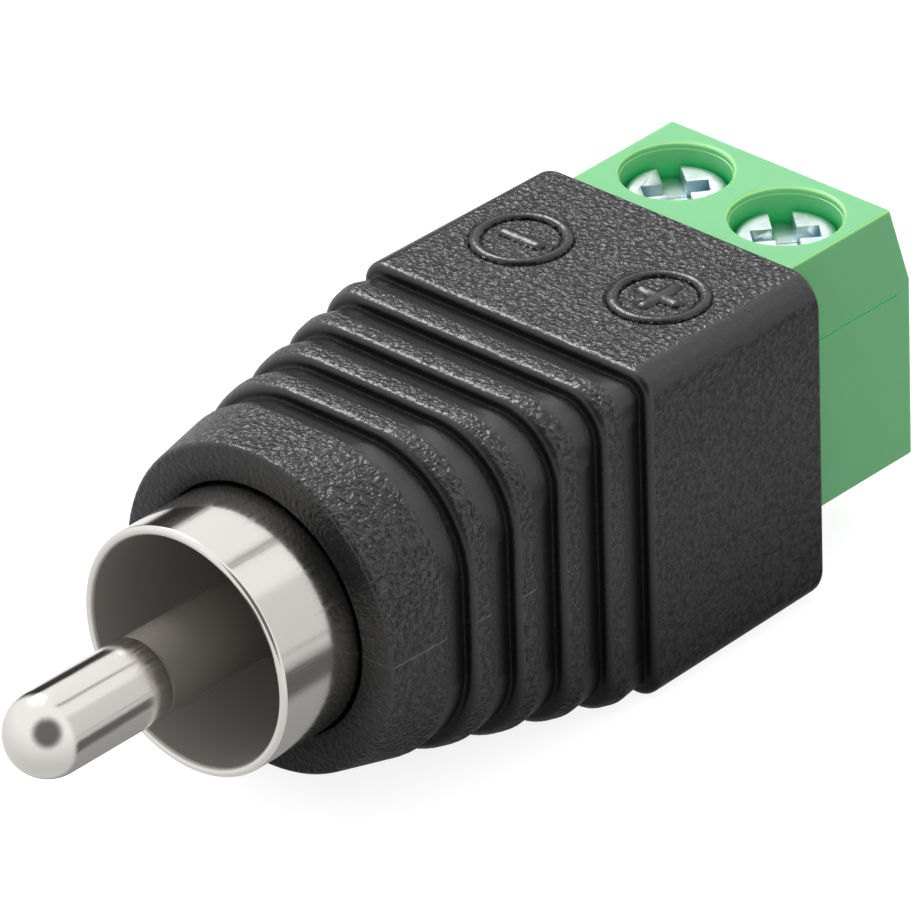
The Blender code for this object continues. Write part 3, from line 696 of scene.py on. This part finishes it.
# The insulator is one glossy moulding: a post round the pin's root, whose front all but touches
# the pin's shoulder, a disc that closes the collar, and a spigot behind it. A ring is cut in the
# disc's face.
post_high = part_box("pin_insulator")[1]
POST_RADIUS = 1.48 * MM
DISC_THICKNESS = 1.2 * MM
DISC_DEPTH, DISC_STEP = 6.0 * MM, 0.1 * MM
POST_FILLET, POST_CHAMFER = 0.2 * MM, 0.08 * MM
SPIGOT_RADIUS = 1.8 * MM
stem_hole = STEM_RADIUS + FIT
disc_front = collar_mouth + DISC_DEPTH
top, face = post_high.y - pin_low.y - PIN_LENGTH - FIT / 3, post_high.y - disc_front
disc_radius = inner - FIT
profile = [(stem_hole, 0), (SPIGOT_RADIUS, 0), (SPIGOT_RADIUS, face - DISC_THICKNESS)]
profile += [(disc_radius, face - DISC_THICKNESS), (disc_radius, face - DISC_STEP)]
profile += [(disc_radius - DISC_STEP, face)]
profile += [(disc_radius - 0.6 * MM, face), (disc_radius - 0.65 * MM, face - DISC_STEP)]
profile += [(disc_radius - 0.8 * MM, face - DISC_STEP), (disc_radius - 0.85 * MM, face)]
profile += [(POST_RADIUS + POST_FILLET, face)]
profile += arc(POST_RADIUS + POST_FILLET, face + POST_FILLET, POST_FILLET, -90, -180, 4)[1:]
profile += [(POST_RADIUS, top - POST_CHAMFER), (POST_RADIUS - POST_CHAMFER, top), (stem_hole, top)]
post = turn_piece("insulating_post", profile, (0, post_high.y, axis_z), FORWARD, 96, hollow=True)
close(post)
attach(post, "root")
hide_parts("pin_insulator")

# Smooth glossy nylon. It is set to a warm mid grey, which is how light the photograph shows it.
nylon, tree, shader, place = new_finish("black_nylon")
flow = add_node(tree, "TexNoise", {"Vector": place, "Scale": 1 / (0.4 * MM), "Detail": 2.0})
polish = add_node(tree, "MapRange", {"Value": flow.outputs[0], "To Min": 0.16, "To Max": 0.3})
tree.links.new(polish.outputs[0], shader.inputs["Roughness"])
skin = add_node(tree, "Bump", {"Height": flow.outputs[0], "Distance": 0.004 * MM})
tree.links.new(skin.outputs[0], shader.inputs["Normal"])
# Painted light: this grey is lighter than the nylon's own black, to make up for the dim light inside the
# collar.
shader.inputs["Base Color"].default_value = linear("#66625c")
shader.inputs["IOR"].default_value = 1.53
coat(post, nylon)


# The terminal housing is a green polyamide block with a sloped rear. Each pole has a screw well
# with a stepped rim, a chamber for its wire clamp, and a funnel for the wire in the rear face.
POLE_PITCH = 5.0 * MM
KNEE_DROP, TOP_SETBACK = 3.15 * MM, 1.0 * MM
HOUSING_EDGE = 0.12 * MM
WELL_RADIUS = 1.96 * MM
RIM_STEP, RIM_DEPTH, RIM_ROUND = 0.04 * MM, 0.24 * MM, 0.13 * MM
HEAD_HEIGHT = 1.4 * MM
SCREW_HOLE = 1.35 * MM
ENTRY_WIDTH, ENTRY_HEIGHT, ENTRY_FLARE = 2.8 * MM, 2.3 * MM, 0.4 * MM
ENTRY_RISE = 1.45 * MM
CHAMBER_GAP, CHAMBER_REAR = 0.15 * MM, 0.3 * MM
screw_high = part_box("clamp_screw_plus")[1]
clamp_low, clamp_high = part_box("wire_clamp_plus")
contact_low, contact_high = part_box("contact_plus")
screw_y = (clamp_low.y + clamp_high.y) / 2
seat_top = screw_high.z - HEAD_HEIGHT - FIT
top_z = housing_high.z

housing = block(housing_low, housing_high)
housing.name = "terminal_block"
edit(housing)
bpy.ops.mesh.select_all(action="SELECT")
slope = Vector((0, KNEE_DROP, TOP_SETBACK)).normalized()
bpy.ops.mesh.bisect(
    plane_co=(0, housing_high.y, top_z - KNEE_DROP), plane_no=slope,
    use_fill=True, clear_outer=True, threshold=0.001 * MM,
)
bpy.ops.mesh.select_all(action="SELECT")
bpy.ops.mesh.normals_make_consistent(inside=False)
bpy.ops.object.mode_set(mode="OBJECT")
combine(housing, block(
    (housing_low.x - 1 * MM, housing_low.y - 1 * MM, top_z - SHOULDER_DROP),
    (housing_high.x + 1 * MM, rear_y + FIT / 2, top_z + 1 * MM),
))
bevel = housing.modifiers.new("edges", "BEVEL")
bevel.width, bevel.segments, bevel.limit_method = HOUSING_EDGE, 3, "ANGLE"
bevel.angle_limit = radians(12)
bpy.ops.object.modifier_apply(modifier=bevel.name)

chamber_half = (contact_high.x - contact_low.x) / 2 + CHAMBER_GAP
entry_z = clamp_low.z + ENTRY_RISE
for side in (-1, 1):
    x = side * POLE_PITCH / 2
    well = [(0, seat_top), (WELL_RADIUS, seat_top), (WELL_RADIUS, top_z - RIM_DEPTH)]
    well += [(WELL_RADIUS + RIM_STEP, top_z - RIM_DEPTH + 0.02 * MM)]
    well += arc(WELL_RADIUS + RIM_STEP + RIM_ROUND, top_z - RIM_ROUND, RIM_ROUND, 180, 90, 6)
    well += [(WELL_RADIUS + RIM_STEP + RIM_ROUND, top_z + 1 * MM), (0, top_z + 1 * MM)]
    tool = turn_piece("well", well, (x, screw_y, 0), (0, 0, 1), 96)
    close(tool)
    combine(housing, tool)
    hole_tool = turn_piece("hole", [
        (0, contact_high.z), (SCREW_HOLE, contact_high.z), (SCREW_HOLE, top_z), (0, top_z),
    ], (x, screw_y, 0), (0, 0, 1), 48)
    close(hole_tool)
    combine(housing, hole_tool)
    combine(housing, block(
        (x - chamber_half, housing_low.y - 1 * MM, contact_low.z - CHAMBER_GAP),
        (x + chamber_half, clamp_high.y + CHAMBER_REAR, contact_high.z + CHAMBER_GAP),
    ))
    funnel = block(
        (x - ENTRY_WIDTH / 2, clamp_high.y, entry_z - ENTRY_HEIGHT / 2),
        (x + ENTRY_WIDTH / 2, housing_high.y - ENTRY_FLARE, entry_z + ENTRY_HEIGHT / 2),
    )
    shape = edit(funnel)
    for face in shape.faces:
        if face.normal.y > 0.9:
            face.select = True
    bmesh.update_edit_mesh(funnel.data)
    bpy.ops.mesh.extrude_region_move(TRANSFORM_OT_translate={"value": (0, 2 * ENTRY_FLARE, 0)})
    shape = bmesh.from_edit_mesh(funnel.data)
    for vert in shape.verts:
        if vert.select:
            vert.co.x += 2 * ENTRY_FLARE * (1 if vert.co.x > x else -1)
            vert.co.z += 2 * ENTRY_FLARE * (1 if vert.co.z > entry_z else -1)
    bmesh.update_edit_mesh(funnel.data)
    bpy.ops.object.mode_set(mode="OBJECT")
    combine(housing, funnel)

# A fine mould seam runs along each side of the block at two thirds of its height.
SEAM_Z, SEAM_SIZE = 9.06 * MM, 0.05 * MM
SEAM_SETBACK = 0.72 * MM
for side in (-1, 1):
    x = side * housing_high.x
    combine(housing, block(
        (x - SEAM_SIZE, rear_y - 1 * MM, SEAM_Z - SEAM_SIZE / 2),
        (x + SEAM_SIZE, housing_high.y - SEAM_SETBACK, SEAM_Z + SEAM_SIZE / 2),
    ))
edit(housing)
close(housing, 30)
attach(housing, "root")
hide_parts("terminal_housing")

# Polyamide is slightly translucent, so light spreads under its satin skin. Its edges are painted paler and
# yellower than its flats, a painted highlight. Inside the wells and entries the green is painted deeper:
# painted bounce light.
POCKET_REACH = 1.6 * MM
REAR_EDGES = 18.5 * MM

polyamide, tree, shader, place = new_finish("green_polyamide")
cloud = add_node(tree, "TexNoise", {"Vector": place, "Scale": 1 / (1.5 * MM), "Detail": 2.0})
tone = add_node(tree, "Mix", {
    "Factor": cloud.outputs[0], 6: linear("#70b97f"), 7: linear("#76bd85"),
}, data_type="RGBA")
# Painted bounce light: where little of the room is open, in the wells and entries, the green is painted
# deeper, as light bouncing between green walls would make it.
open_sky = add_node(tree, "AmbientOcclusion", {"Distance": POCKET_REACH}, samples=8)
depth = add_node(tree, "MapRange", {
    "Value": open_sky.outputs["AO"], "From Min": 0.25, "From Max": 0.8, "To Min": 1.0, "To Max": 0.0,
})
tone = add_node(tree, "Mix", {
    "Factor": depth.outputs[0], 6: tone.outputs[2], 7: linear("#2ad976"),
}, data_type="RGBA")
# Painted highlight: the rounded edges round the top and the wells' rims, and the upright edges at the rear,
# are painted paler and yellower.
facing = add_node(tree, "NewGeometry").outputs["Normal"]
facing = add_node(tree, "VectorMath", {0: facing, 1: facing}, operation="MULTIPLY").outputs[0]
aside = add_node(tree, "VectorMath", {0: (1, 1, 1), 1: facing}, operation="SUBTRACT").outputs[0]
turned = add_node(tree, "VectorMath", {0: facing, 1: aside}, operation="MULTIPLY").outputs[0]
turned = add_node(tree, "SeparateXYZ", {"Vector": turned}).outputs
depth_y = add_node(tree, "SeparateXYZ", {"Vector": place}).outputs["Y"]
at_rear = add_node(tree, "Math", {0: depth_y, 1: REAR_EDGES}, operation="GREATER_THAN")
upright = add_node(tree, "Math", {0: turned["X"], 1: at_rear.outputs[0]}, operation="MULTIPLY")
turned = add_node(tree, "Math", {0: turned["Z"], 1: upright.outputs[0]}, operation="MAXIMUM")
edges = add_node(tree, "MapRange", {
    "Value": turned.outputs[0], "From Min": 0.1, "From Max": 0.22, "To Min": 0.0, "To Max": 0.85,
})
tone = add_node(tree, "Mix", {
    "Factor": edges.outputs[0], 6: tone.outputs[2], 7: linear("#a6d98a"),
}, data_type="RGBA")
tree.links.new(tone.outputs[2], shader.inputs["Base Color"])
satin = add_node(tree, "TexNoise", {"Vector": place, "Scale": 1 / (0.06 * MM), "Detail": 2.0})
skin = add_node(tree, "Bump", {"Height": satin.outputs[0], "Distance": 0.003 * MM})
tree.links.new(skin.outputs[0], shader.inputs["Normal"])
shader.inputs["Roughness"].default_value = 0.38
shader.inputs["IOR"].default_value = 1.53
shader.inputs["Subsurface Weight"].default_value = 0.5
shader.inputs["Subsurface Radius"].default_value = (0.35, 1.0, 0.45)
shader.inputs["Subsurface Scale"].default_value = 0.6 * MM
coat(housing, polyamide)


# The two terminal screws are cold-headed steel, zinc plated with a bluish passivation.
# Each has a slot right across its head, a shorter cross slot, and an M2.5 thread. Down in the
# slots the plate is painted darker and blue green: painted shade and a painted reflection of the green
# walls.
HEAD_RADIUS = 1.8 * MM
CROWN = 0.38 * MM
CROWN_DROP = 0.16 * MM
HEAD_CHAMFER = 0.05 * MM
SLOT_WIDTH, SLOT_DEPTH = 0.85 * MM, 0.6 * MM
CROSS_LENGTH, CROSS_WIDTH = 2.4 * MM, 0.8 * MM
SLOT_TURNS = {"minus": 142, "plus": 139}
RECESS_REACH = 0.6 * MM
THREAD_PITCH, THREAD_RADIUS, CORE_RADIUS = 0.45 * MM, 1.2 * MM, 1.0 * MM

zinc, tree, shader, place = new_finish("zinc_plated_steel")
stain = add_node(tree, "TexNoise", {"Vector": place, "Scale": 1 / (0.5 * MM), "Detail": 3.0})
tone = add_node(tree, "Mix", {
    "Factor": stain.outputs[0], 6: linear("#cdd8dd"), 7: linear("#e2e6e8"),
}, data_type="RGBA")
# Painted shade and painted reflection: in the slots and other hollows the colour turns darker and blue
# green.
open_sky = add_node(tree, "AmbientOcclusion", {"Distance": RECESS_REACH}, samples=8)
recess = add_node(tree, "MapRange", {
    "Value": open_sky.outputs["AO"], "From Min": 0.35, "From Max": 0.8, "To Min": 1.0, "To Max": 0.0,
})
tone = add_node(tree, "Mix", {
    "Factor": recess.outputs[0], 6: tone.outputs[2], 7: linear("#74aab4"),
}, data_type="RGBA")
tree.links.new(tone.outputs[2], shader.inputs["Base Color"])
dull = add_node(tree, "MapRange", {"Value": stain.outputs[0], "To Min": 0.28, "To Max": 0.48})
tree.links.new(dull.outputs[0], shader.inputs["Roughness"])
peel = add_node(tree, "TexNoise", {"Vector": place, "Scale": 1 / (0.12 * MM), "Detail": 2.0})
skin = add_node(tree, "Bump", {"Height": peel.outputs[0], "Distance": 0.006 * MM})
tree.links.new(skin.outputs[0], shader.inputs["Normal"])
shader.inputs["Metallic"].default_value = 1.0

for pole, side in (("minus", -1), ("plus", 1)):
    x = side * POLE_PITCH / 2
    low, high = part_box(f"clamp_screw_{pole}")
    head_under = high.z - HEAD_HEIGHT
    profile = [(0, low.z), (CORE_RADIUS - 0.15 * MM, low.z)]
    z = low.z + 0.1 * MM
    while z + THREAD_PITCH < head_under - 0.2 * MM:
        profile += [
            (CORE_RADIUS, z), (THREAD_RADIUS, z + THREAD_PITCH * 0.4),
            (THREAD_RADIUS, z + THREAD_PITCH * 0.55), (CORE_RADIUS, z + THREAD_PITCH * 0.95),
        ]
        z += THREAD_PITCH
    profile += [(CORE_RADIUS, head_under), (HEAD_RADIUS - HEAD_CHAMFER, head_under)]
    profile += [(HEAD_RADIUS, head_under + HEAD_CHAMFER)]
    profile += [(HEAD_RADIUS, high.z - CROWN_DROP - 0.04 * MM)]
    for step in range(1, 7):
        turn = radians(step * 15)
        profile.append((HEAD_RADIUS - CROWN * (1 - cos(turn)), high.z - CROWN_DROP * (1 - sin(turn))))
    profile += [(0, high.z)]
    screw = turn_piece(f"screw_{pole}", profile, (x, screw_y, 0), (0, 0, 1), 96)
    close(screw)
    for length, width, depth, turn in (
        (2 * HEAD_RADIUS + 1 * MM, SLOT_WIDTH, SLOT_DEPTH, SLOT_TURNS[pole]),
        (CROSS_LENGTH, CROSS_WIDTH, SLOT_DEPTH + 0.02 * MM, SLOT_TURNS[pole] + 90),
    ):
        slot = block((-length / 2, -width / 2, high.z - depth), (length / 2, width / 2, high.z + 1 * MM))
        slot.matrix_world = Matrix.Translation((x, screw_y, 0)) @ Matrix.Rotation(radians(turn), 4, "Z")
        bpy.context.view_layer.update()
        combine(screw, slot)
    shape = edit(screw)
    for face in shape.faces:
        face.select = face.normal.z > 0.999 and face.calc_center_median().z > head_under + 0.3 * MM
    shape.select_flush(True)
    bmesh.update_edit_mesh(screw.data)
    bpy.ops.mesh.dissolve_limited(angle_limit=radians(1))
    bpy.ops.object.mode_set(mode="OBJECT")
    burr = screw.modifiers.new("edges", "BEVEL")
    burr.width, burr.segments, burr.limit_method = 0.04 * MM, 2, "ANGLE"
    burr.angle_limit = radians(50)
    bpy.context.view_layer.objects.active = screw
    bpy.ops.object.modifier_apply(modifier=burr.name)
    edit(screw)
    close(screw, 32, 0.006 * MM)
    coat(screw, zinc)
    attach(screw, f"screw_{pole}")
    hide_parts(f"clamp_screw_{pole}")

# Each wire clamp is a folded steel box, zinc plated, with a thick threaded top.
# It is open at both ends: the wire comes in from the rear and the contact bar from the front.
# The tap has run on below the top and left a shallow round groove in each side wall.
CLAMP_WALL, CLAMP_TOP = 0.5 * MM, 1.0 * MM
FOLD_RADIUS = 0.4 * MM
CLAMP_HOLE, TAP_RUNOUT = 1.25 * MM, 1.7 * MM
COUNTERSINK, ABOVE = 0.12 * MM, 0.13 * MM

for pole, side in (("minus", -1), ("plus", 1)):
    x = side * POLE_PITCH / 2
    low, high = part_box(f"wire_clamp_{pole}")
    clamp = block(low, high)
    clamp.name = f"clamp_{pole}"
    shape = edit(clamp)
    for edge in shape.edges:
        ends = edge.verts[1].co - edge.verts[0].co
        edge.select = abs(ends.y) > abs(ends.x) + abs(ends.z)
    bmesh.update_edit_mesh(clamp.data)
    bpy.ops.mesh.bevel(offset=FOLD_RADIUS, segments=6)
    bpy.ops.object.mode_set(mode="OBJECT")
    window = block(
        (low.x + CLAMP_WALL, low.y - 1 * MM, low.z + CLAMP_WALL),
        (high.x - CLAMP_WALL, high.y + 1 * MM, high.z - CLAMP_TOP),
    )
    combine(clamp, window)
    threaded = [(0, high.z - CLAMP_TOP - TAP_RUNOUT), (CLAMP_HOLE, high.z - CLAMP_TOP - TAP_RUNOUT)]
    threaded += [(CLAMP_HOLE, high.z - COUNTERSINK)]
    threaded += [(CLAMP_HOLE + 0.25 * MM, high.z + ABOVE), (0, high.z + ABOVE)]
    tool = turn_piece("thread", threaded, (x, screw_y, 0), (0, 0, 1), 48)
    close(tool)
    combine(clamp, tool)
    edit(clamp)
    close(clamp)
    coat(clamp, zinc)
    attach(clamp, f"clamp_{pole}")
    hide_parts(f"wire_clamp_{pole}")

# The contacts are stamped from brass strip and tinned, which leaves them pale and a little dull.
tinned, tree, shader, place = new_finish("tinned_brass")
rolled = add_node(tree, "Mapping", {"Vector": place, "Scale": (1, 0.05, 1)})
grain = add_node(tree, "TexNoise", {"Vector": rolled.outputs[0], "Scale": 1 / (0.08 * MM), "Detail": 2.0})
tone = add_node(tree, "Mix", {
    "Factor": grain.outputs[0], 6: linear("#bdb8a8"), 7: linear("#d6d2c6"),
}, data_type="RGBA")
tree.links.new(tone.outputs[2], shader.inputs["Base Color"])
shader.inputs["Metallic"].default_value = 1.0
shader.inputs["Roughness"].default_value = 0.34
for pole in ("minus", "plus"):
    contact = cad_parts[f"contact_{pole}"]
    coat(contact, tinned)

# The link wires are tinned copper, soldered between the contacts' tails and the plug.
solder, tree, shader, place = new_finish("tinned_copper")
ripple = add_node(tree, "TexNoise", {"Vector": place, "Scale": 1 / (0.3 * MM), "Detail": 2.0})
tone = add_node(tree, "Mix", {
    "Factor": ripple.outputs[0], 6: linear("#c9b9a4"), 7: linear("#ddd5ca"),
}, data_type="RGBA")
tree.links.new(tone.outputs[2], shader.inputs["Base Color"])
shader.inputs["Metallic"].default_value = 1.0
shader.inputs["Roughness"].default_value = 0.32
for pole in ("minus", "plus"):
    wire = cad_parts[f"link_wire_{pole}"]
    coat(wire, solder)
